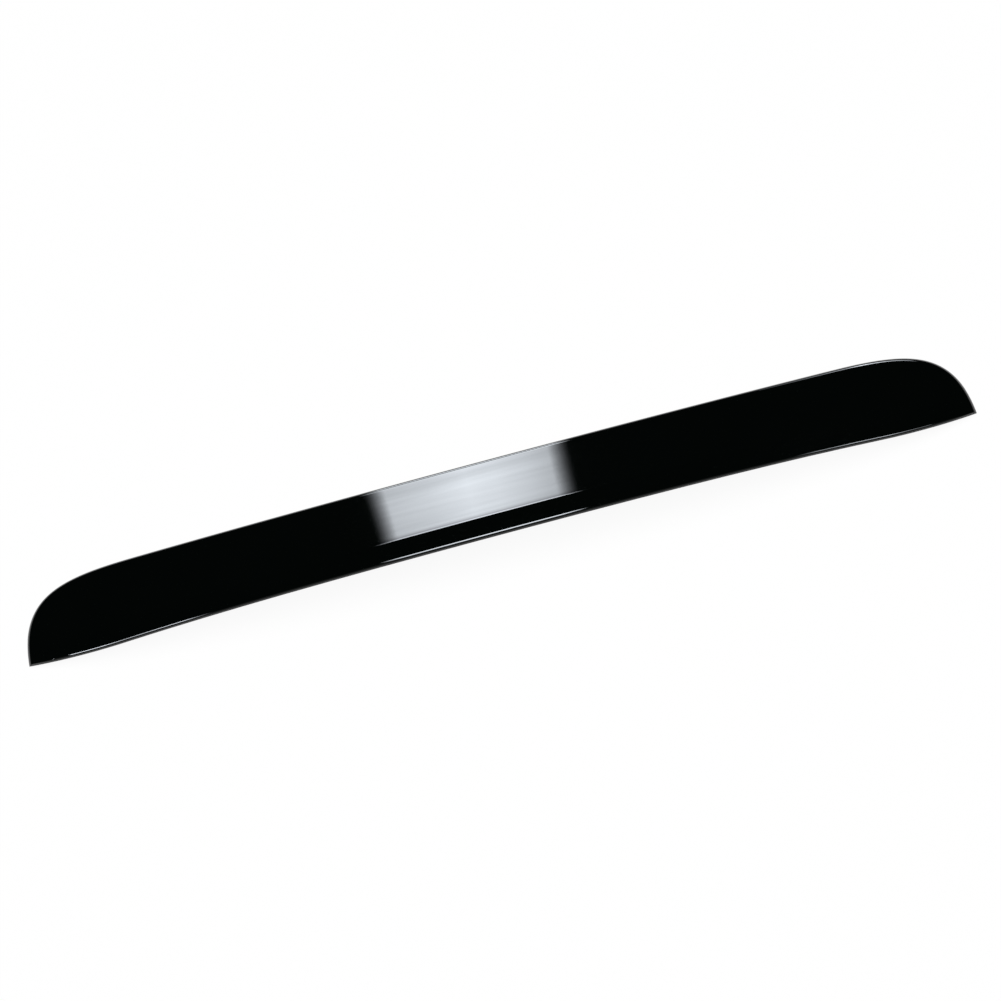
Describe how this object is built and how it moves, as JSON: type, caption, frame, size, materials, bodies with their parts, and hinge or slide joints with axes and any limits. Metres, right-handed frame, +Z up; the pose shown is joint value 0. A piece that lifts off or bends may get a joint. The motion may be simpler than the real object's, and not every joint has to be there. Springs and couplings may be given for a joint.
{
  "type": "roof spoiler",
  "caption": "Long thin gloss black roof spoiler with a bowed, crowned deck, a raised rolled trailing lip, rounded swept ends and a ribbed hollow underside.",
  "frame": {"origin": "middle of the bounding box's bottom face, on the flat surface that the part lies on", "axes": "+X to the right seen from behind the car, +Y forward along the car, +Z up"},
  "size_m": [1.1182, 0.124, 0.0499],
  "materials": {
    "gloss_black": "high gloss black"
  },
  "bodies": {
    "root": {"spoiler_body": "gloss_black"}
  },
  "joints": []
}
